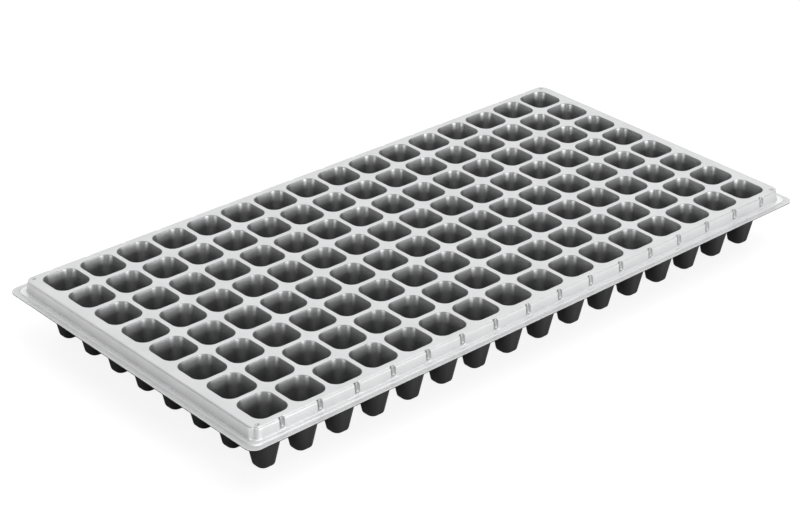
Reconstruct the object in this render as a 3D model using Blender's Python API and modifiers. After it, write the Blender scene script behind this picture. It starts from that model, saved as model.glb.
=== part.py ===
"""Plug tray for raising seedlings: one vacuum-formed sheet with 16 x 8 tapered cells.

The sheet is made of two plastic plies that are pressed together before forming: a thin
silver ply that faces up, and a thicker black ply below it that carries the load. Both
plies follow the same formed surface, so that surface is built once, as an open skin,
and each ply is a shell grown from it.

Metres, +Z up, centred on the Z axis with the long side along X. The cell bottoms stand
on z = 0. The near long side is the one at -Y.
"""

import math
from typing import NamedTuple

import bmesh
import bpy

MM = 0.001

# Overall
LENGTH = 540.0 * MM
WIDTH = 280.0 * MM
HEIGHT = 45.0 * MM

# Cells
CELLS_X = 16
CELLS_Y = 8
PITCH = 31.85 * MM
MOUTH_HALF = 14.1 * MM  # half the width of a cell at the deck
MOUTH_CUT = 4.6 * MM  # how far the corner of the mouth is cut back
FLOOR_HALF = 6.0 * MM
FLOOR_CUT = 2.6 * MM
DRAIN_HALF = 3.0 * MM

# Plies, from the top face down
SILVER_PLY = 0.25 * MM
PLY_GAP = 0.05 * MM
BLACK_PLY = 0.50 * MM
SHEET = SILVER_PLY + PLY_GAP + BLACK_PLY
SKIN = 0.01 * MM  # how far below the top face the skin lies that both plies grow from

# Rim, as distances in from the outer edge of the flange and heights above the ground
EDGE_RADIUS = 7.5 * MM
LIP_TOP = 35.4 * MM
BEAD_FOOT_IN = 2.6 * MM  # where the step down to the lip ends
BEAD_IN = 4.2 * MM  # where it starts
LEDGE_Z = 36.1 * MM
WALL_FOOT_IN = 7.5 * MM
WALL_TOP_IN = 8.1 * MM
WALL_TOP_Z = 43.4 * MM
WALL_SLOPE = (WALL_TOP_IN - WALL_FOOT_IN) / (WALL_TOP_Z - LEDGE_Z)  # run out per drop
WALL_RADIUS = 7.0 * MM
DECK_IN = 9.7 * MM
DECK_RADIUS = 5.6 * MM

# Flutes down the long walls, one at the middle of each cell
FLUTE_HALF = 1.5 * MM
FLUTE_BACK_HALF = 0.8 * MM
FLUTE_DEPTH = 1.4 * MM

# Corners: a groove down the wall and a stacking dimple on the deck
GROOVE_DEPTH = 1.3 * MM  # at the top of the wall
GROOVE_OPEN = math.radians(15)  # half the angle the groove takes of the corner
GROOVE_BACK = math.radians(8)
DIMPLE_IN = (14.2 * MM, 12.6 * MM)  # from the ends and from the long sides
DIMPLE_RADIUS = 2.0 * MM
DIMPLE_DEPTH = 0.7 * MM
DIMPLE_SIDES = 6

# Feet of the flutes and grooves, and of the wall points between them
RECESS_FOOT_Z = 37.8 * MM
RECESS_BACK_FOOT_Z = 38.8 * MM

# Meshing
WELD = 1e-6  # points closer than this are one point
FLAT_ANGLE = math.radians(0.05)  # rim faces within this angle are joined
SHARP_ANGLE = math.radians(47)  # edges above this angle are shaded sharp

SILVER = (0.62, 0.63, 0.64, 1.0)
BLACK = (0.012, 0.012, 0.013, 1.0)


def clear_scene():
    for obj in list(bpy.data.objects):
        bpy.data.objects.remove(obj, do_unlink=True)


def material(name, colour, roughness):
    made = bpy.data.materials.new(name)
    made.use_nodes = True
    shader = made.node_tree.nodes["Principled BSDF"]
    shader.inputs["Base Color"].default_value = colour
    shader.inputs["Roughness"].default_value = roughness
    made.diffuse_color = colour
    return made


def cell_places(count):
    """The middles of a row of cells, along one axis."""
    return [(i - (count - 1) / 2) * PITCH for i in range(count)]


def is_at(z, points):
    return all(abs(point.z - z) < WELD for point in points)


def weld(bm):
    bmesh.ops.remove_doubles(bm, verts=bm.verts[:], dist=WELD)


# Rim. Each station is one place round it, and gives the point on any loop of the rim.
# With a depth, its back points are set in by it. Without one, they close onto the
# sides of the flute or groove.


class FluteStation(NamedTuple):
    side: int  # -1 on the near long side, 1 on the far one
    centre: float
    offset: float
    is_back: bool

    top_depth = FLUTE_DEPTH

    def point(self, inset, radius, z, depth=None):
        """The radius shapes only the corners, and isn't used here."""
        offset = self.offset
        if self.is_back and depth is None:
            offset = math.copysign(FLUTE_HALF, offset)
        recess = depth if self.is_back and depth is not None else 0.0
        return self.centre + offset, self.side * (WIDTH / 2 - inset - recess), z


class CornerStation(NamedTuple):
    middle: float  # direction of the corner's middle
    turn: float  # angle from there
    is_back: bool

    top_depth = GROOVE_DEPTH

    def point(self, inset, radius, z, depth=None):
        turn = self.turn
        if self.is_back and depth is None:
            turn = math.copysign(GROOVE_OPEN, turn)
        reach = radius - (depth if self.is_back and depth is not None else 0.0)
        centre_x = math.copysign(LENGTH / 2 - inset - radius, math.cos(self.middle))
        centre_y = math.copysign(WIDTH / 2 - inset - radius, math.sin(self.middle))
        angle = self.middle + turn
        return (
            centre_x + reach * math.cos(angle),
            centre_y + reach * math.sin(angle),
            z,
        )


def flute_stations(side, centre):
    run = -side  # the near side runs to +X and the far side to -X
    return [
        FluteStation(side, centre, run * offset, is_back)
        for offset, is_back in (
            (-FLUTE_HALF, False),
            (-FLUTE_BACK_HALF, True),
            (FLUTE_BACK_HALF, True),
            (FLUTE_HALF, False),
        )
    ]


def corner_stations(middle):
    return [
        CornerStation(middle, turn, is_back)
        for turn, is_back in (
            (-math.pi / 4, False),
            (-GROOVE_OPEN, False),
            (-GROOVE_BACK, True),
            (GROOVE_BACK, True),
            (GROOVE_OPEN, False),
            (math.pi / 4, False),
        )
    ]


def rim_stations():
    """Anticlockwise from above, from the left end of the near long side."""
    stations = []
    centres = cell_places(CELLS_X)
    for side, ordered, corners in (
        (-1, centres, (-45, 45)),
        (1, centres[::-1], (135, 225)),
    ):
        for centre in ordered:
            stations += flute_stations(side, centre)
        for degrees in corners:
            stations += corner_stations(math.radians(degrees))
    return stations


def rim_profile(station):
    """A station's points from the deck's edge, down the wall and out to the lip's edge."""
    foot_z = RECESS_BACK_FOOT_Z if station.is_back else RECESS_FOOT_Z
    lean = WALL_SLOPE * (WALL_TOP_Z - foot_z)  # how far out the wall is by that height
    return [
        station.point(DECK_IN, DECK_RADIUS, HEIGHT),
        station.point(WALL_TOP_IN, WALL_RADIUS, WALL_TOP_Z, station.top_depth),
        station.point(WALL_TOP_IN - lean, WALL_RADIUS, foot_z, FLUTE_DEPTH + lean),
        station.point(WALL_FOOT_IN, WALL_RADIUS, LEDGE_Z),
        station.point(BEAD_IN, EDGE_RADIUS, LEDGE_Z),
        station.point(BEAD_FOOT_IN, EDGE_RADIUS, LIP_TOP),
        station.point(0.0, EDGE_RADIUS, LIP_TOP),
    ]


def grow_rim(bm):
    """Extrudes the deck's outer edge down the wall and out over the flange."""
    profiles = [rim_profile(station) for station in rim_stations()]
    # Extruding copies this number, so each new point knows its station.
    number = bm.verts.layers.int.new("station")
    deck = []
    for k, profile in enumerate(profiles):
        vert = bm.verts.new(profile[0])
        vert[number] = k
        deck.append(vert)
    loop = [
        bm.edges.new((vert, deck[(k + 1) % len(deck)])) for k, vert in enumerate(deck)
    ]
    for level in range(1, len(profiles[0])):
        made = bmesh.ops.extrude_edge_only(bm, edges=loop)["geom"]
        fresh = {item for item in made if isinstance(item, bmesh.types.BMVert)}
        loop = [
            item
            for item in made
            if isinstance(item, bmesh.types.BMEdge)
            and all(vert in fresh for vert in item.verts)
        ]
        for vert in fresh:
            vert.co = profiles[vert[number]][level]
    weld(bm)


def merge_flat_faces(bm):
    """Joins rim faces that lie in one plane, and drops the points they no longer need."""
    bmesh.ops.dissolve_limit(
        bm, angle_limit=FLAT_ANGLE, verts=bm.verts[:], edges=bm.edges[:]
    )


def square_face(bm, half, z):
    made = bmesh.ops.create_grid(bm, x_segments=1, y_segments=1, size=half)
    bmesh.ops.translate(bm, verts=made["verts"], vec=(0.0, 0.0, z))
    return made["verts"][0].link_faces[0]


def open_face(bm, face):
    """Deletes a face and returns the ring of edges it leaves."""
    edges = list(face.edges)
    bmesh.ops.delete(bm, geom=[face], context="FACES_ONLY")
    return edges


def square(bm, half, z):
    return open_face(bm, square_face(bm, half, z))


def octagon(bm, half, cut, z):
    """A square with its corners cut off, as a ring of eight edges."""
    bmesh.ops.bevel(
        bm,
        geom=list(square_face(bm, half, z).verts),
        offset=cut,
        offset_type="OFFSET",
        segments=1,
        profile=0.5,
        affect="VERTICES",
    )
    face = next(f for f in bm.faces if is_at(z, [f.calc_center_median()]))
    return open_face(bm, face)


def cup_mesh():
    """The inside of one cell, open at the mouth and at the drain."""
    bm = bmesh.new()
    mouth = octagon(bm, MOUTH_HALF, MOUTH_CUT, HEIGHT)
    foot = octagon(bm, FLOOR_HALF, FLOOR_CUT, SHEET)
    bmesh.ops.bridge_loops(bm, edges=mouth + foot)
    drain = square(bm, DRAIN_HALF, SHEET)
    bmesh.ops.bridge_loops(bm, edges=foot + drain)
    made = bpy.data.meshes.new("cup")
    bm.to_mesh(made)
    bm.free()
    return made


def add_cups(bm):
    cup = cup_mesh()
    for x in cell_places(CELLS_X):
        for y in cell_places(CELLS_Y):
            before = set(bm.verts)
            bm.from_mesh(cup)
            fresh = [vert for vert in bm.verts if vert not in before]
            bmesh.ops.translate(bm, verts=fresh, vec=(x, y, 0.0))
    bpy.data.meshes.remove(cup)


def add_dimples(bm):
    """Sinks a cone, point down, near each corner of the deck."""
    for side_x in (-1, 1):
        for side_y in (-1, 1):
            made = bmesh.ops.create_cone(
                bm,
                cap_ends=False,
                segments=DIMPLE_SIDES,
                radius1=0.0,
                radius2=DIMPLE_RADIUS,
                depth=DIMPLE_DEPTH,
            )
            place = (
                side_x * (LENGTH / 2 - DIMPLE_IN[0]),
                side_y * (WIDTH / 2 - DIMPLE_IN[1]),
                HEIGHT - DIMPLE_DEPTH / 2,
            )
            bmesh.ops.translate(bm, verts=made["verts"], vec=place)
    weld(bm)


def fill_deck(bm):
    """Spans the land between the mouths, out to the edge of the deck."""
    open_edges = [
        edge
        for edge in bm.edges
        if len(edge.link_faces) < 2 and is_at(HEIGHT, [vert.co for vert in edge.verts])
    ]
    bmesh.ops.triangle_fill(bm, edges=open_edges, use_beauty=True, normal=(0, 0, 1))


def face_up(bm):
    """Makes the normals agree, with those of the deck pointing up."""
    bmesh.ops.recalc_face_normals(bm, faces=bm.faces[:])
    bm.normal_update()
    deck_face = next(
        face
        for face in bm.faces
        if abs(face.normal.z) > 0.999 and face.calc_center_median().z > HEIGHT - 1e-5
    )
    if deck_face.normal.z < 0:
        bmesh.ops.reverse_faces(bm, faces=bm.faces[:])


def skin_mesh(name):
    """The formed surface just under the sheet's top face, as one open skin facing up."""
    bm = bmesh.new()
    grow_rim(bm)
    merge_flat_faces(bm)
    add_cups(bm)
    add_dimples(bm)
    fill_deck(bm)
    weld(bm)
    bmesh.ops.triangulate(bm, faces=bm.faces[:])
    face_up(bm)
    bmesh.ops.translate(bm, verts=bm.verts[:], vec=(0.0, 0.0, -SKIN))
    made = bpy.data.meshes.new(name)
    bm.to_mesh(made)
    bm.free()
    return made


def ply(name, skin, collection, top, bottom, colour, roughness):
    """An even shell, from top to bottom as depths below the sheet's top face."""
    mesh = skin.copy()
    mesh.name = name
    obj = bpy.data.objects.new(name, mesh)
    collection.objects.link(obj)
    shell = obj.modifiers.new("ply", "SOLIDIFY")
    shell.solidify_mode = "NON_MANIFOLD"
    shell.nonmanifold_thickness_mode = "CONSTRAINTS"
    shell.thickness = bottom - top
    # An offset of -1 would hang the shell from the skin, and 0 would centre it there.
    shell.offset = -(bottom + top - 2 * SKIN) / (bottom - top)
    shell.use_rim = True
    mesh.polygons.foreach_set("use_smooth", [True] * len(mesh.polygons))
    mesh.set_sharp_from_angle(angle=SHARP_ANGLE)
    mesh.materials.append(material(name, colour, roughness))


def main():
    clear_scene()
    collection = bpy.data.collections.new("plug_tray")
    bpy.context.scene.collection.children.link(collection)
    skin = skin_mesh("formed_skin")
    ply(
        "silver_top_ply", skin, collection,
        top=0.0, bottom=SILVER_PLY, colour=SILVER, roughness=0.42,
    )
    ply(
        "black_base_ply", skin, collection,
        top=SILVER_PLY + PLY_GAP, bottom=SHEET, colour=BLACK, roughness=0.5,
    )
    bpy.data.meshes.remove(skin)


main()
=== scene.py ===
"""A plug tray of 16 by 8 cells, formed from two plies of plastic sheet: silver over black.

The tray lies flat and centred on the Z axis, with its long side along X and the cells
opening upwards. Both plies follow one surface, the tray's upper face, laid out here row
by row: the cells from mouth to drain, the dimples, the rim from the deck's edge down the
wall and out over the flange, and the land that joins them. A ply is that surface taken
at two depths and closed at its cut edges.

Lengths are in millimetres until a mesh is made; the stage is in metres.
A "turn" is the angle from level of the surface. "Drawn" is how far the film is stretched; it
also carries painted light, below 0 on the ledge, and painted shade at the foot of the step.
"pressed_shade" is how far the film is pushed into a flute, groove or dimple, as the weight of
the painted shade there.
"""

import math
from typing import NamedTuple

import bmesh
import bpy
import numpy as np
from mathutils import Matrix, Vector


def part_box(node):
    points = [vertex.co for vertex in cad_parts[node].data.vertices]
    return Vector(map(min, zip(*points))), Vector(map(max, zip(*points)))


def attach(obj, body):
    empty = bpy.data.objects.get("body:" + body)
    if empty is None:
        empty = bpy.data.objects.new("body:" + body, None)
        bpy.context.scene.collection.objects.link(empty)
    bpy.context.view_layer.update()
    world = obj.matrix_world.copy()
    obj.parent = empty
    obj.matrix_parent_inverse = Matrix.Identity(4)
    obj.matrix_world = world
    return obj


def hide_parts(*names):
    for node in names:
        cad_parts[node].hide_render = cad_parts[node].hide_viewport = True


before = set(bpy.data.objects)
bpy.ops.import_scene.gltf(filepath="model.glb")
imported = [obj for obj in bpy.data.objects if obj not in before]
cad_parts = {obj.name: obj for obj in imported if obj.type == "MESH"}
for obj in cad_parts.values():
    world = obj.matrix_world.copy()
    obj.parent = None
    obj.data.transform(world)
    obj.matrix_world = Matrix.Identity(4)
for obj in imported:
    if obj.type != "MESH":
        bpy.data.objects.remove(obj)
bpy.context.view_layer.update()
MM = 0.001

# ---- Sizes from the CAD ----
_, top_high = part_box("silver_top_ply")
base_low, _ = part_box("black_base_ply")
HALF_X = top_high.x / MM
HALF_Y = top_high.y / MM
DECK_Z = top_high.z / MM
FOOT_Z = base_low.z / MM

# ---- Sheet ----
SHEET = 0.80
SILVER = (0.0, 0.25)  # each ply, as depths below the upper face
BLACK = (0.30, SHEET)
DRAWN_THIN = 0.50  # the sheet's thickness deep in a cell, as a share of the deck's
THINNED_DROP = 40.0  # the depth in a cell where the sheet is that thin

# ---- Cells ----
CELLS_X, CELLS_Y = 16, 8
PITCH = 31.85
# A cell's half width falls with depth d as
# WALL_HALF - WALL_SLOPE * d + FLARE * exp(-d / FLARE_RUN).
WALL_HALF = 13.75
WALL_SLOPE = 0.164
FLARE, FLARE_RUN = 0.24, 2.5
MOUTH_CORNER = 7.8  # plan radii of the wall's corners, at the deck and at the floor
FLOOR_CORNER = 4.6
MOUTH_FILLET = 0.40
FLOOR_FILLET = 1.3
FLOOR_DROP = DECK_Z - FOOT_Z - SHEET * DRAWN_THIN
DRAIN = 3.2  # radius
CORNER_STEPS = 7
FILLET_STEPS = 3  # in a cell's fillets and at the foot of the rim's wall
WALL_DROPS = ((1.4, False), (3.5, True), (7.5, False), (20.0, False))  # depth, kept
MOUTH_DRAWN = 0.08  # at the end of the mouth's fillet, of 1 at the floor

# ---- Rim ----
RIM_DRAFT = math.atan(0.6 / 7.3)
RIM_TURN = math.pi / 2 - RIM_DRAFT
CREST_FILLET = 1.8
CREST_STEPS = 5
WALL_HEIGHTS = (41.6, 40.0, 39.2, 38.5, 38.0, 37.6)  # rows above the foot of the flutes
LEDGE_Z = 36.1
WALL_FOOT_IN = 7.5  # "in" sizes are measured inwards from the tray's edge
FOOT_FILLET = 0.45
LEDGE_END_IN = 4.6
STEP_TURN = math.radians(42)  # the S-shaped step from the ledge down to the lip
STEP_TOP_RADIUS, STEP_FOOT_RADIUS = 0.95, 0.45
STEP_TOP_STEPS, STEP_FOOT_STEPS = 3, 2
LIP_Z = 35.4
LIP_ROWS_IN = (0.9, 0.0)
EDGE_CORNER, WALL_CORNER = 7.5, 7.0
RIM_CORNERS = (  # distance in from the edge, plan radius there
    (0.0, EDGE_CORNER),
    (LEDGE_END_IN, EDGE_CORNER),
    (WALL_FOOT_IN, WALL_CORNER),
    (8.1, WALL_CORNER),
    (9.9, 5.6),
)
LEAST_CORNER = 0.3
RIM_STEPS = 16  # steps round each corner

# Flutes are pressed in along the long sides, one to each cell, and a groove at each corner.
FLUTE_HALF = 2.3
FLUTE_DEPTH = 1.9
FLUTE_FOOT = 37.2
FLUTE_ROUND = 1.6  # height over which the flute's foot rounds off
FLUTE_FOOT_REACH = 0.62  # share of the depth low on the wall, rising to 1 at the deck
FLUTE_COLUMNS = (-1.0, -0.72, -0.38, 0.0, 0.38, 0.72, 1.0)
FLUTE_LAND = 3.3  # from a flute's middle to the plain column each side of it
GROOVE_DEPTH = 1.3
GROOVE_HALF = math.radians(24)

WALL_DRAWN = 0.017
LEDGE_PAINTED_LIGHT = 0.03  # drawn below 0: painted light, the film painted brighter than the deck's on the ledge
# painted shade in the crease at the foot of the step, given as film drawn a little thin
STEP_FOOT_PAINTED_SHADE = 0.004
# weights of the painted shade in the flutes and the corner grooves
FLUTE_PRESSED_SHADE = 1.3  # before it is limited to 1
GROOVE_PRESSED_SHADE = 0.6

# ---- Dimples, one near each corner of the deck ----
DIMPLE_IN = (14.2, 12.6)
DIMPLE_RADIUS = 2.2
DIMPLE_DEPTH = 0.75
DIMPLE_POINTS = 20
DIMPLE_RINGS = ((1.0, 0.0), (0.75, 0.3), (0.5, 0.5), (0.25, 0.5))  # share of radius, weight of the painted shade
DIMPLE_MIDDLE_PRESSED_SHADE = 0.5


def arc(radius, turn):
    """How far an arc that starts level has gone along and down once it has turned."""
    return radius * math.sin(turn), radius * (1 - math.cos(turn))


def centres(count):
    """Places one pitch apart, centred on 0."""
    return [(i - (count - 1) / 2) * PITCH for i in range(count)]


# ---- Cell shape ----
class CellRow(NamedTuple):
    half: float
    corner: float
    drop: float  # depth below the deck
    turn: float
    kept: bool  # needed even on a side that isn't seen


def rounded_square(half, corner):
    """Points round a rounded square, anticlockwise, and each point's outward direction."""
    points, outward = [], []
    for k, signs in enumerate(((1, 1), (-1, 1), (-1, -1), (1, -1))):
        for step in range(CORNER_STEPS + 1):
            turn = math.pi / 2 * (k + step / CORNER_STEPS)
            way = np.array((math.cos(turn), math.sin(turn)))
            points.append(np.array(signs) * (half - corner) + corner * way)
            outward.append(way)
    return np.array(points), np.array(outward)


def thickness(drop):
    """How thick the drawn sheet is at a depth in a cell, as a share of the deck's."""
    return 1 - (1 - DRAWN_THIN) * min(1.0, drop / THINNED_DROP)


def wall_half(drop):
    return WALL_HALF - WALL_SLOPE * drop + FLARE * math.exp(-drop / FLARE_RUN)


def wall_turn(drop):
    slope = WALL_SLOPE + FLARE / FLARE_RUN * math.exp(-drop / FLARE_RUN)
    return math.pi / 2 - math.atan(slope)


def cell_rows():
    """The rows of one cell from the deck to the floor."""
    rows = []
    ends = (0, FILLET_STEPS)
    mouth_turn = wall_turn(0.0)
    mouth_half = wall_half(0.0) + MOUTH_FILLET * math.tan(mouth_turn / 2)
    mouth_centre = wall_half(0.0) - MOUTH_CORNER
    for k in range(FILLET_STEPS + 1):
        turn = mouth_turn * k / FILLET_STEPS
        along, down = arc(MOUTH_FILLET, turn)
        half = mouth_half - along
        rows.append(CellRow(half, half - mouth_centre, down, turn, k in ends))

    floor_turn = wall_turn(FLOOR_DROP)
    floor_half = wall_half(FLOOR_DROP) - FLOOR_FILLET * math.tan(floor_turn / 2)
    floor_centre = wall_half(FLOOR_DROP) - FLOOR_CORNER
    start = rows[-1]
    end_half = floor_half + FLOOR_FILLET * math.sin(floor_turn)
    for drop, kept in WALL_DROPS:
        half = wall_half(drop)
        share = (start.half - half) / (start.half - end_half)
        corner = start.corner + (end_half - floor_centre - start.corner) * share
        rows.append(CellRow(half, corner, drop, wall_turn(drop), kept))

    for k in range(FILLET_STEPS + 1):
        turn = floor_turn * (1 - k / FILLET_STEPS)
        along, up = arc(FLOOR_FILLET, turn)
        half = floor_half + along
        rows.append(CellRow(half, half - floor_centre, FLOOR_DROP - up, turn, k in ends))
    return rows


# ---- Rim shape ----
class RimRow(NamedTuple):
    inset: float  # distance in from the tray's edge
    z: float
    turn: float
    reach: float  # how far flutes and grooves reach in, of 1
    drawn: float


class SideColumn(NamedTuple):
    """A column on a long side; share is its place across a flute, None on plain wall."""

    side: int
    x: float
    share: float = None


class CornerColumn(NamedTuple):
    side_x: int
    side_y: int
    angle: float


def flute_reach(z):
    """How far a flute reaches in at a height on the wall, of 1."""
    left = (z - FLUTE_FOOT) / FLUTE_ROUND
    rounded = math.sqrt(max(0.0, 1 - (1 - min(1.0, left)) ** 2))
    rise = (1 - FLUTE_FOOT_REACH) * (z - FLUTE_FOOT) / (DECK_Z - FLUTE_FOOT)
    return rounded * (FLUTE_FOOT_REACH + rise)


def rim_rows():
    """The rim's rows from the deck's edge to the flange's."""
    rows = []
    tangent = math.tan(RIM_TURN / 2)
    lean = math.tan(RIM_DRAFT)

    # over the crest
    wall_top_in = WALL_FOOT_IN + lean * (DECK_Z - LEDGE_Z)
    start = wall_top_in + CREST_FILLET * tangent
    for k in range(CREST_STEPS + 1):
        turn = RIM_TURN * k / CREST_STEPS
        along, down = arc(CREST_FILLET, turn)
        reach = min(1.0, 0.53 * k - 0.055 * k * k)  # eases in over the crest
        drawn = WALL_DRAWN * max(0.0, (k - 1) / (CREST_STEPS - 1))
        rows.append(RimRow(start - along, DECK_Z - down, turn, reach, drawn))

    # down the wall
    for z in (*WALL_HEIGHTS, FLUTE_FOOT):
        inset = WALL_FOOT_IN + lean * (z - LEDGE_Z)
        rows.append(RimRow(inset, z, RIM_TURN, flute_reach(z), WALL_DRAWN))

    # round its foot on to the ledge, where the painted light begins
    foot = WALL_FOOT_IN - FOOT_FILLET * tangent
    for k in range(FILLET_STEPS + 1):
        turn = RIM_TURN * (1 - k / FILLET_STEPS)
        along, up = arc(FOOT_FILLET, turn)
        drawn = WALL_DRAWN - (LEDGE_PAINTED_LIGHT + WALL_DRAWN) * k / FILLET_STEPS
        rows.append(RimRow(foot + along, LEDGE_Z + up, turn, 0.0, drawn))

    # down off the ledge in an S and out over the lip; the painted light fades over the top of
    # the step, and painted shade darkens its foot
    radii = STEP_TOP_RADIUS + STEP_FOOT_RADIUS
    straight = LEDGE_Z - LIP_Z - radii * (1 - math.cos(STEP_TURN))
    straight /= math.sin(STEP_TURN)
    for k in range(STEP_TOP_STEPS + 1):
        turn = STEP_TURN * k / STEP_TOP_STEPS
        along, down = arc(STEP_TOP_RADIUS, turn)
        drawn = -LEDGE_PAINTED_LIGHT * (1 - k / STEP_TOP_STEPS)
        rows.append(RimRow(LEDGE_END_IN - along, LEDGE_Z - down, turn, 0.0, drawn))
    end = LEDGE_END_IN - radii * math.sin(STEP_TURN) - straight * math.cos(STEP_TURN)
    for k in range(STEP_FOOT_STEPS + 1):
        turn = STEP_TURN * (1 - k / STEP_FOOT_STEPS)
        along, up = arc(STEP_FOOT_RADIUS, turn)
        rows.append(RimRow(end + along, LIP_Z + up, turn, 0.0, STEP_FOOT_PAINTED_SHADE))
    rows += [RimRow(inset, LIP_Z, 0.0, 0.0, 0.0) for inset in LIP_ROWS_IN]
    return rows


def rim_columns():
    """The columns round the rim, anticlockwise from the corner at -X, -Y."""
    columns = []
    corners = {-1: ((1, -1, -90), (1, 1, 0)), 1: ((-1, 1, 90), (-1, -1, 180))}
    for side in (-1, 1):
        run = -side  # the way along X
        for x in centres(CELLS_X)[::run]:
            columns.append(SideColumn(side, x - run * FLUTE_LAND))
            columns += [SideColumn(side, x, run * share) for share in FLUTE_COLUMNS]
            columns.append(SideColumn(side, x + run * FLUTE_LAND))
        for side_x, side_y, first in corners[side]:
            for k in range(RIM_STEPS + 1):
                angle = math.radians(first + 90 * k / RIM_STEPS)
                columns.append(CornerColumn(side_x, side_y, angle))
    return columns


def groove_bell(column, half):
    """The groove's profile at a corner column: 1 on the diagonal, 0 from half away."""
    middle = math.atan2(column.side_y, column.side_x)
    off = (column.angle - middle + math.pi) % (2 * math.pi) - math.pi
    return math.cos(math.pi / 2 * off / half) ** 2 if abs(off) < half else 0.0


def rim_vertex(column, row, depth):
    level = depth * math.sin(row.turn)  # the part of the depth that goes inwards
    inset = row.inset + level
    z = row.z - depth * math.cos(row.turn)
    if isinstance(column, CornerColumn):
        corner = max(LEAST_CORNER, float(np.interp(row.inset, *zip(*RIM_CORNERS))) - level)
        bell = groove_bell(column, GROOVE_HALF + level / WALL_CORNER)
        out = corner - GROOVE_DEPTH * row.reach * bell
        return (
            column.side_x * (HALF_X - inset - corner) + out * math.cos(column.angle),
            column.side_y * (HALF_Y - inset - corner) + out * math.sin(column.angle),
            z,
        )
    x = column.x
    if column.share is not None:
        limit = math.acos(level / (FLUTE_DEPTH + level))
        across = column.share * limit
        x = x + (FLUTE_HALF + level) * math.sin(across)
        inset += row.reach * max(0.0, (FLUTE_DEPTH + level) * math.cos(across) - level)
    return (x, column.side * (HALF_Y - inset), z)


def rim_pressed_shade(column, row):
    """How far a point of the rim lies in a flute or a corner groove, of 1, as the weight of
    the painted shade there.
    """
    if isinstance(column, CornerColumn):
        return GROOVE_PRESSED_SHADE * row.reach * groove_bell(column, GROOVE_HALF)
    if column.share is None:
        return 0.0
    return min(1.0, FLUTE_PRESSED_SHADE * row.reach * math.cos(column.share * math.pi / 2))


# ---- The whole face ----
class Face:
    """The upper face: its points, how they move with depth, and the polygons between."""

    def __init__(self):
        self.makers = []  # one per block of points: depth in, n x 3 array out
        self.count = 0
        self.polygons = []  # every polygon, for a side that is seen
        self.plain = []  # the same surface in fewer rows, for one that isn't
        self.stretch = []
        self.pressed_shade = []
        self.land_edges = []  # loops of point numbers round the land
        self.cut_edges = []  # and round the sheet's cut edges

    def block(self, maker, around, stretch, pressed_shade=None):
        """Adds a block of points; returns its closed rows, each of `around` numbers."""
        first = self.count
        self.makers.append(maker)
        self.count += len(stretch)
        self.stretch.extend(stretch)
        self.pressed_shade.extend(pressed_shade or [0.0] * len(stretch))
        starts = range(first, self.count - around + 1, around)
        return [list(range(start, start + around)) for start in starts]

    def points(self, depth):
        return np.concatenate([maker(depth) for maker in self.makers])

    def strips(self, loops, kept=None):
        """Quads between neighbouring rows. The plain side takes only the kept rows."""
        some = [loop for k, loop in enumerate(loops) if kept is None or kept[k]]
        for out, rows in ((self.polygons, loops), (self.plain, some)):
            for above, below in zip(rows, rows[1:]):
                for k in range(len(above)):
                    j = (k + 1) % len(above)
                    out.append((below[k], below[j], above[j], above[k]))

    def fill(self, polygon):
        self.polygons.append(polygon)
        self.plain.append(polygon)


def cell_maker(x, y, rows):
    """The points of one cell's rows, then of its round drain."""

    def maker(depth):
        out = []
        for row in rows:
            ring, outward = rounded_square(row.half, row.corner)
            into = depth * thickness(row.drop)
            place = ring + outward * into * math.sin(row.turn)
            z = DECK_Z - row.drop - into * math.cos(row.turn)
            out.append(np.hstack((place + (x, y), np.full((len(ring), 1), z))))
        last = rows[-1]
        ring, _ = rounded_square(last.half, last.corner)
        way = ring / np.linalg.norm(ring, axis=1, keepdims=True)
        z = DECK_Z - last.drop - depth * thickness(last.drop)
        out.append(np.hstack((way * DRAIN + (x, y), np.full((len(ring), 1), z))))
        return np.concatenate(out)

    return maker


def add_cells(face):
    rows = cell_rows()
    around = 4 * (CORNER_STEPS + 1)
    drawn = [MOUTH_DRAWN * k / FILLET_STEPS for k in range(FILLET_STEPS + 1)]
    for row in rows[len(drawn) :]:
        drawn.append(MOUTH_DRAWN + (1 - MOUTH_DRAWN) * (row.drop / rows[-1].drop))
    stretch = [share for share in drawn + [1.0] for _ in range(around)]
    kept = [row.kept for row in rows] + [True]
    for x in centres(CELLS_X):
        for y in centres(CELLS_Y):
            loops = face.block(cell_maker(x, y, rows), around, stretch)
            face.strips([loop[::-1] for loop in loops], kept)
            face.land_edges.append(loops[0])
            face.cut_edges.append(loops[-1][::-1])


def dimple_maker(x, y):
    """The points of a dimple's rings, then its middle."""

    def maker(depth):
        out = []
        for share, _ in DIMPLE_RINGS:
            fall = DIMPLE_DEPTH * math.cos(math.pi / 2 * share) ** 2
            for k in range(DIMPLE_POINTS):
                turn = 2 * math.pi * k / DIMPLE_POINTS
                out.append(
                    (
                        x + DIMPLE_RADIUS * share * math.cos(turn),
                        y + DIMPLE_RADIUS * share * math.sin(turn),
                        DECK_Z - fall - depth,
                    )
                )
        out.append((x, y, DECK_Z - DIMPLE_DEPTH - depth))
        return np.array(out)

    return maker


def add_dimples(face):
    pressed_shade = [share for _, share in DIMPLE_RINGS for _ in range(DIMPLE_POINTS)]
    pressed_shade.append(DIMPLE_MIDDLE_PRESSED_SHADE)
    for side_x in (-1, 1):
        for side_y in (-1, 1):
            maker = dimple_maker(
                side_x * (HALF_X - DIMPLE_IN[0]), side_y * (HALF_Y - DIMPLE_IN[1])
            )
            loops = face.block(maker, DIMPLE_POINTS, [0.0] * len(pressed_shade), pressed_shade)
            face.strips([loop[::-1] for loop in loops])
            last = loops[-1]
            middle = face.count - 1
            for k in range(DIMPLE_POINTS):
                face.fill((last[k], last[(k + 1) % DIMPLE_POINTS], middle))
            face.land_edges.append(loops[0])


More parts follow.
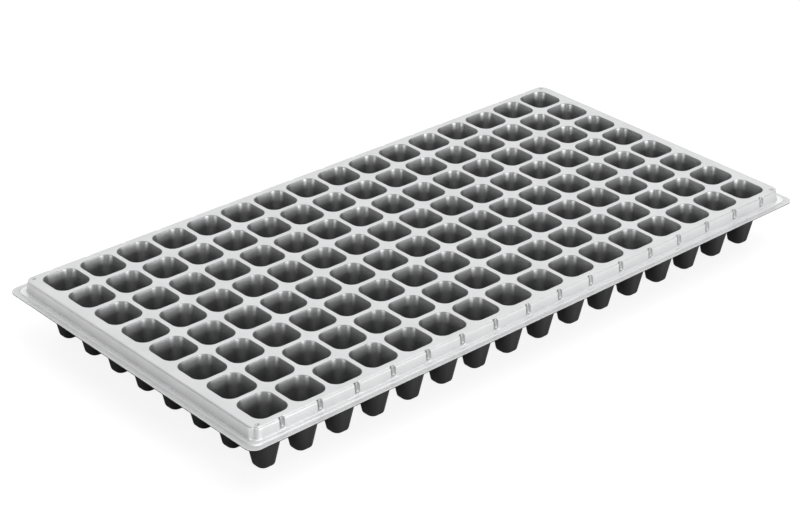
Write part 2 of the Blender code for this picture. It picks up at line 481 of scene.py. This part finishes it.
def add_rim(face):
    columns = rim_columns()
    rows = rim_rows()
    loops = face.block(
        lambda depth: np.array([rim_vertex(c, row, depth) for row in rows for c in columns]),
        len(columns),
        [row.drawn for row in rows for _ in columns],
        [rim_pressed_shade(c, row) for row in rows for c in columns],
    )
    face.strips(loops)
    face.land_edges.append(loops[0])
    face.cut_edges.append(loops[-1])


def add_land(face):
    """Triangles between the mouths and dimples, out to the edge of the deck."""
    points = face.points(0.0)
    builder = bmesh.new()
    number = builder.verts.layers.int.new("number")
    edges = []
    for loop in face.land_edges:
        verts = []
        for k in loop:
            vert = builder.verts.new(points[k])
            vert[number] = k
            verts.append(vert)
        for k, vert in enumerate(verts):
            edges.append(builder.edges.new((vert, verts[(k + 1) % len(verts)])))
    bmesh.ops.triangle_fill(
        builder, edges=edges, use_beauty=True, use_dissolve=False, normal=(0, 0, 1)
    )
    for triangle in builder.faces:
        order = [vert[number] for vert in triangle.verts]
        (x0, y0), (x1, y1), (x2, y2) = (points[k][:2] for k in order)
        if (x1 - x0) * (y2 - y1) - (y1 - y0) * (x2 - x1) < 0:  # faces down
            order.reverse()
        face.fill(tuple(order))
    builder.free()


def upper_face():
    face = Face()
    add_cells(face)
    add_dimples(face)
    add_rim(face)
    add_land(face)
    return face


# ---- Plies ----
def add_object(name, data):
    piece = bpy.data.objects.new(name, data)
    bpy.context.scene.collection.objects.link(piece)
    return piece


def ply_mesh(name, face, depths, seen):
    """The face at two depths, closed at its cut edges, with every normal outwards."""
    top, bottom = (face.points(depth) for depth in depths)
    count = face.count
    polygons = list(face.polygons if seen == "top" else face.plain)
    under = face.polygons if seen == "bottom" else face.plain
    polygons += [tuple(k + count for k in reversed(polygon)) for polygon in under]
    for loop in face.cut_edges:
        for k, here in enumerate(loop):
            after = loop[(k + 1) % len(loop)]
            polygons.append((after, here, here + count, after + count))
    mesh = bpy.data.meshes.new(name)
    mesh.from_pydata((np.concatenate((top, bottom)) * MM).tolist(), [], polygons)
    mesh.update()
    # stretch also carries the ledge's painted light and the step foot's painted shade;
    # pressed_shade weights the painted shade in flutes, grooves and dimples
    for label, values in (("stretch", face.stretch), ("pressed_shade", face.pressed_shade)):
        layer = mesh.attributes.new(label, "FLOAT", "POINT")
        layer.data.foreach_set("value", values * 2)

    # the plain side leaves the points of its missing rows loose
    builder = bmesh.new()
    builder.from_mesh(mesh)
    loose = [vert for vert in builder.verts if not vert.link_faces]
    bmesh.ops.delete(builder, geom=loose, context="VERTS")
    bmesh.ops.recalc_face_normals(builder, faces=builder.faces[:])
    builder.to_mesh(mesh)
    builder.free()
    mesh.polygons.foreach_set("use_smooth", [True] * len(mesh.polygons))
    mesh.set_sharp_from_angle(angle=math.radians(50))
    return mesh


def add_ply(name, part, face, depths, seen, surface):
    """One ply in place of a CAD part. seen says which side shows, "top" or "bottom"."""
    mesh = ply_mesh(name, face, depths, seen)
    piece = add_object(name, mesh)
    even = piece.modifiers.new("even_normals", "WEIGHTED_NORMAL")
    even.mode = "FACE_AREA"
    even.weight = 60
    even.keep_sharp = True
    mesh.materials.append(surface)
    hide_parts(part)
    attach(piece, "root")


# ---- Materials ----
class Nodes:
    """Short names for building a node tree."""

    def __init__(self, tree, coordinates):
        self.tree = tree
        self.place = self.new("ShaderNodeTexCoord").outputs[coordinates]

    def new(self, kind, **settings):
        node = self.tree.nodes.new(kind)
        for key, value in settings.items():
            setattr(node, key, value)
        return node

    def put(self, socket, value):
        if isinstance(value, bpy.types.NodeSocket):
            self.tree.links.new(value, socket)
        else:
            socket.default_value = value

    def maths(self, operation, first, second):
        node = self.new("ShaderNodeMath", operation=operation)
        self.put(node.inputs[0], first)
        self.put(node.inputs[1], second)
        return node.outputs[0]

    def attribute(self, name):
        return self.new("ShaderNodeAttribute", attribute_name=name).outputs["Fac"]

    def camera_ray(self):
        return self.new("ShaderNodeLightPath").outputs["Is Camera Ray"]

    def split(self, vector):
        node = self.new("ShaderNodeSeparateXYZ")
        self.put(node.inputs[0], vector)
        return node.outputs

    def noise(self, scale, detail, rough, axes=None):
        """Noise, with its pattern scaled along each axis if axes are given."""
        vector = self.place
        if axes:
            mapping = self.new("ShaderNodeMapping")
            mapping.inputs["Scale"].default_value = axes
            self.put(mapping.inputs["Vector"], vector)
            vector = mapping.outputs[0]
        node = self.new("ShaderNodeTexNoise")
        self.put(node.inputs["Vector"], vector)
        node.inputs["Scale"].default_value = scale
        node.inputs["Detail"].default_value = detail
        node.inputs["Roughness"].default_value = rough
        return node.outputs["Fac"]

    def ramp(self, value, stops):
        """A grey ramp with the given (position, level) stops."""
        node = self.new("ShaderNodeValToRGB")
        band = node.color_ramp
        while len(band.elements) < len(stops):
            band.elements.new(0.5)
        for element, (position, level) in zip(band.elements, stops):
            element.position = position
            element.color = (level, level, level, 1.0)
        self.put(node.inputs[0], value)
        return node.outputs[0]

    def mix(self, share, first, second):
        node = self.new("ShaderNodeMix", data_type="RGBA")
        self.put(node.inputs[0], share)
        self.put(node.inputs[6], first)
        self.put(node.inputs[7], second)
        return node.outputs[2]

    def remap(self, value, span, to=(0.0, 1.0)):
        node = self.new("ShaderNodeMapRange")
        self.put(node.inputs[0], value)
        for k, number in enumerate((*span, *to)):
            node.inputs[k + 1].default_value = number
        return node.outputs[0]

    def bump(self, height, strength, distance, below=None):
        node = self.new("ShaderNodeBump")
        node.inputs["Strength"].default_value = strength
        node.inputs["Distance"].default_value = distance
        self.put(node.inputs["Height"], height)
        if below is not None:
            self.put(node.inputs["Normal"], below)
        return node.outputs[0]


def new_material(name):
    """A material, its node builder and the inputs of its shader."""
    material = bpy.data.materials.new(name)
    material.use_nodes = True
    tree = material.node_tree
    return material, Nodes(tree, "Object"), tree.nodes["Principled BSDF"].inputs


SHOW_THROUGH_AND_PAINTED_SHADE = (0.020, 0.020, 0.021, 1.0)  # the black ply seen through thin film, also the colour of the painted shade in flutes, grooves and dimples
DECK_DULL = (0.695, 0.698, 0.703, 1.0)
DECK_PALE = (0.740, 0.743, 0.749, 1.0)
# painted light: the ledge's paler colour
LEDGE_PAINTED_LIGHT_COLOUR = (0.90, 0.903, 0.908, 1.0)
BLACK_DEEP = (0.0060, 0.0060, 0.0065, 1.0)
BLACK_PALE = (0.0100, 0.0100, 0.0105, 1.0)
STREAK_AMOUNT = 0.16
PRESSED_PAINTED_SHADE = 0.62  # how far the painted shade darkens the film where it is pressed in
PRESSED_METAL = 0.95
GRAIN_ROUGHNESS = 0.08
FILM_LEFT_AND_PAINTED_LIGHT = (  # stretch, how much of the silver is left; the rise from 0.50 at 0.08 back to 0.62 at 0.20 is painted light lower on the cells' walls
    (0.0, 1.0), (0.03, 0.62), (0.08, 0.50), (0.13, 0.58),
    (0.20, 0.62), (0.30, 0.58), (0.60, 0.42), (1.0, 0.28),
)
LIP_DULLING = ((0.0, 0.0), (0.03, 0.14), (0.07, 0.12), (0.11, 0.0))  # stretch, roughness


def silver_plastic():
    """Aluminium-pigmented film. Forming thins it in the cells, and the black shows through.
    Painted light brightens the ledge and the cells' walls lower down, and painted shade
    darkens the flutes, grooves and dimples.
    """
    material, nodes, shader = new_material("silver_film")
    maths = nodes.maths
    stretch = nodes.attribute("stretch")
    pressed_shade = nodes.attribute("pressed_shade")

    cloud = nodes.noise(scale=38.0, detail=3.0, rough=0.55)
    deck = nodes.mix(nodes.remap(cloud, span=(0.35, 0.65)), DECK_DULL, DECK_PALE)
    # the flange is clamped while the sheet is formed, and keeps its first shine
    # painted light: the ledge and the top of the step are painted paler than the deck, against
    # the shade the rim's wall casts on them
    painted_ledge_light = nodes.remap(stretch, span=(-LEDGE_PAINTED_LIGHT, 0.0), to=(1.0, 0.0))
    deck = nodes.mix(painted_ledge_light, deck, LEDGE_PAINTED_LIGHT_COLOUR)

    # upright streaks, stronger where the film is drawn further
    streak = nodes.noise(scale=260.0, detail=2.0, rough=0.5, axes=(1.0, 1.0, 0.10))
    uneven = maths("MULTIPLY", maths("SUBTRACT", streak, 0.5), STREAK_AMOUNT)
    drawn = maths("ADD", stretch, maths("MULTIPLY", uneven, stretch))
    # the black shows through thinned film; the ramp's rise below the mouth is painted light
    colour = nodes.mix(nodes.ramp(drawn, FILM_LEFT_AND_PAINTED_LIGHT), SHOW_THROUGH_AND_PAINTED_SHADE, deck)
    # painted shade: flutes, grooves and dimples are darkened towards the black
    painted_shade = maths("MULTIPLY", pressed_shade, PRESSED_PAINTED_SHADE)
    nodes.put(shader["Base Color"], nodes.mix(painted_shade, colour, SHOW_THROUGH_AND_PAINTED_SHADE))

    metal = nodes.remap(stretch, span=(0.01, 0.07), to=(0.5, 0.92))
    metal = maths("MAXIMUM", metal, maths("MULTIPLY", pressed_shade, PRESSED_METAL))
    nodes.put(shader["Metallic"], metal)

    grain = nodes.noise(scale=2600.0, detail=2.0, rough=0.6)
    smear = nodes.noise(scale=90.0, detail=3.0, rough=0.6)
    rough = maths(
        "ADD",
        nodes.remap(smear, span=(0.3, 0.7), to=(0.36, 0.40)),
        maths("MULTIPLY", maths("SUBTRACT", grain, 0.5), GRAIN_ROUGHNESS),
    )
    # bending over the lip of a cell dulls the film
    rough = maths("ADD", rough, nodes.ramp(stretch, LIP_DULLING))
    nodes.put(shader["Roughness"], rough)
    fine = nodes.bump(grain, strength=0.12, distance=0.00008)
    broad = nodes.bump(smear, strength=0.05, distance=0.0006, below=fine)
    nodes.put(shader["Normal"], broad)
    return material


def black_plastic():
    """Black polystyrene, satin where it was drawn over the mould."""
    material, nodes, shader = new_material("black_sheet")
    cloud = nodes.noise(scale=45.0, detail=3.0, rough=0.6)
    dust = nodes.noise(scale=900.0, detail=4.0, rough=0.7)
    colour = nodes.mix(nodes.remap(cloud, span=(0.35, 0.65)), BLACK_DEEP, BLACK_PALE)
    nodes.put(shader["Base Color"], colour)
    nodes.put(shader["Roughness"], nodes.remap(dust, span=(0.3, 0.7), to=(0.48, 0.60)))
    nodes.put(shader["Specular IOR Level"], 0.22)
    nodes.put(shader["Normal"], nodes.bump(dust, strength=0.15, distance=0.00012))
    return material


# ---- Stage, in metres ----
FLOOR_HALF = 9
FLOOR_GAP = 0.0004  # below the tray's foot
FLOOR_GLOW = 0.87
SHADE_LOSS = 0.74  # glow lost under the tray
# where the shade under the tray fades in and out, along X and along Y
SHADE_FADES = (((-0.34, -0.28), (0.25, 0.27)), ((-0.13, -0.10), (0.13, 0.15)))


def pale_floor():
    """The tray's own reflections see a dark floor below it, the camera sees it plain."""
    material, nodes, shader = new_material("pale_floor")
    maths = nodes.maths
    nodes.put(shader["Base Color"], (0.22, 0.22, 0.22, 1.0))
    nodes.put(shader["Roughness"], 0.9)
    nodes.put(shader["Emission Color"], (1.0, 1.0, 1.0, 1.0))
    bands = []
    for along, (fade_in, fade_out) in zip(nodes.split(nodes.place), SHADE_FADES):
        entering = nodes.remap(along, span=fade_in)
        leaving = nodes.remap(along, span=fade_out, to=(1.0, 0.0))
        bands.append(maths("MULTIPLY", entering, leaving))
    shade = maths("MULTIPLY", *bands)
    hidden = maths("SUBTRACT", 1.0, nodes.camera_ray())
    lost = maths("MULTIPLY", maths("MULTIPLY", shade, hidden), SHADE_LOSS)
    nodes.put(shader["Emission Strength"], maths("SUBTRACT", FLOOR_GLOW, lost))
    return material


def add_floor():
    mesh = bpy.data.meshes.new("floor")
    signs = ((-1, -1), (1, -1), (1, 1), (-1, 1))
    corners = [(x * FLOOR_HALF, y * FLOOR_HALF, 0.0) for x, y in signs]
    mesh.from_pydata(corners, [], [(0, 1, 2, 3)])
    mesh.update()
    piece = add_object("floor", mesh)
    piece.location.z = FOOT_Z * MM - FLOOR_GAP
    mesh.materials.append(pale_floor())


VIEW_BEARING = 226.1  # degrees round from +X to the camera's side
BOX_DISTANCE = 10.0


def around_tray(turn, rise):
    """A far place: turn is degrees anticlockwise from the view's bearing, rise upwards."""
    way = math.radians(VIEW_BEARING + turn)
    level = BOX_DISTANCE * math.cos(math.radians(rise))
    return (
        level * math.cos(way),
        level * math.sin(way),
        BOX_DISTANCE * math.sin(math.radians(rise)),
    )


def add_lamp(name, place, size, power, aim=(0.0, 0.0, 0.03)):
    data = bpy.data.lights.new(name, "AREA")
    data.shape = "RECTANGLE"
    data.size, data.size_y = size
    data.energy = power
    lamp = add_object(name, data)
    lamp.location = place
    lamp.visible_camera = False
    way = Vector(aim) - Vector(place)
    lamp.rotation_euler = way.to_track_quat("-Z", "Y").to_euler()


def add_lamps():
    add_lamp("right_box", around_tray(turn=52, rise=9.5), size=(6.4, 3.3), power=700.0)
    add_lamp("left_box", around_tray(turn=-47, rise=9.5), size=(3.0, 3.3), power=340.0)
    add_lamp("front_box", around_tray(turn=-2, rise=9), size=(2.6, 3.0), power=70.0)
    add_lamp(
        "side_card", (-0.41, 0.73, 0.23), size=(0.3, 0.3), power=0.5, aim=(0.2, 0.1, 0.04)
    )
    add_lamp("top_box", (0.2, -0.5, 2.3), size=(2.2, 1.6), power=22.0)


def add_world():
    """A studio that is plain white to the camera and softly graded to everything else."""
    world = bpy.data.worlds.new("studio")
    bpy.context.scene.world = world
    world.use_nodes = True
    world.node_tree.nodes.clear()
    nodes = Nodes(world.node_tree, "Generated")
    maths = nodes.maths

    def glow(way, start, to):
        """Soft light that grows towards one way from the tray."""
        toward = nodes.new("ShaderNodeVectorMath", operation="DOT_PRODUCT")
        nodes.put(toward.inputs[0], nodes.place)
        nodes.put(toward.inputs[1], Vector(way).normalized())
        return nodes.remap(toward.outputs["Value"], span=(start, 1.0), to=to)

    height = nodes.split(nodes.place)[2]
    # the glow behind the tray is weaker near the horizon, so its far edges stay grey
    back = glow((0.70, 0.58, 0.42), start=0.25, to=(0.05, 1.48))
    back = maths("MULTIPLY", back, nodes.remap(height, span=(0.05, 0.34), to=(0.40, 1.0)))
    fill = glow((-0.50, -0.55, 0.67), start=0.5, to=(0.0, 0.15))
    # a pale band round the foot of the backdrop, brighter towards -Y
    low = nodes.remap(height, span=(0.0, 0.30), to=(1.0, 0.0))
    band = maths("MULTIPLY", low, glow((0.2, -0.98, 0.0), start=-1.0, to=(0.0, 0.45)))

    soft = nodes.new("ShaderNodeBackground")
    nodes.put(soft.inputs["Strength"], maths("ADD", maths("ADD", back, fill), band))
    white = nodes.new("ShaderNodeBackground")
    nodes.put(white.inputs["Color"], (1.0, 1.0, 1.0, 1.0))
    nodes.put(white.inputs["Strength"], 1.0)
    pick = nodes.new("ShaderNodeMixShader")
    chosen = (nodes.camera_ray(), soft.outputs[0], white.outputs[0])
    for socket, value in zip(pick.inputs, chosen):
        nodes.put(socket, value)
    out = nodes.new("ShaderNodeOutputWorld")
    nodes.put(out.inputs["Surface"], pick.outputs[0])
    bpy.context.scene.view_settings.view_transform = "Standard"


CAMERA_PLACE = (-0.976477, -1.063529, 0.804148)
CAMERA_RIGHT = (0.728058, -0.685195, 0.020965)
CAMERA_UP = (0.313608, 0.360109, 0.878619)


def add_camera():
    data = bpy.data.cameras.new("camera")
    data.sensor_width = 36.0
    data.lens = 98.162
    data.shift_x = -0.08065
    data.shift_y = -0.00531
    data.clip_start, data.clip_end = 0.05, 60.0
    camera = add_object("camera", data)
    right, up = Vector(CAMERA_RIGHT), Vector(CAMERA_UP)
    back = right.cross(up).normalized()
    turn = Matrix((right, up, back)).transposed()
    camera.matrix_world = Matrix.Translation(CAMERA_PLACE) @ turn.to_4x4()
    bpy.context.scene.camera = camera


tray_face = upper_face()
add_ply("tray_silver", "silver_top_ply", tray_face, SILVER, "top", silver_plastic())
add_ply("tray_black", "black_base_ply", tray_face, BLACK, "bottom", black_plastic())
add_floor()
add_lamps()
add_world()
add_camera()
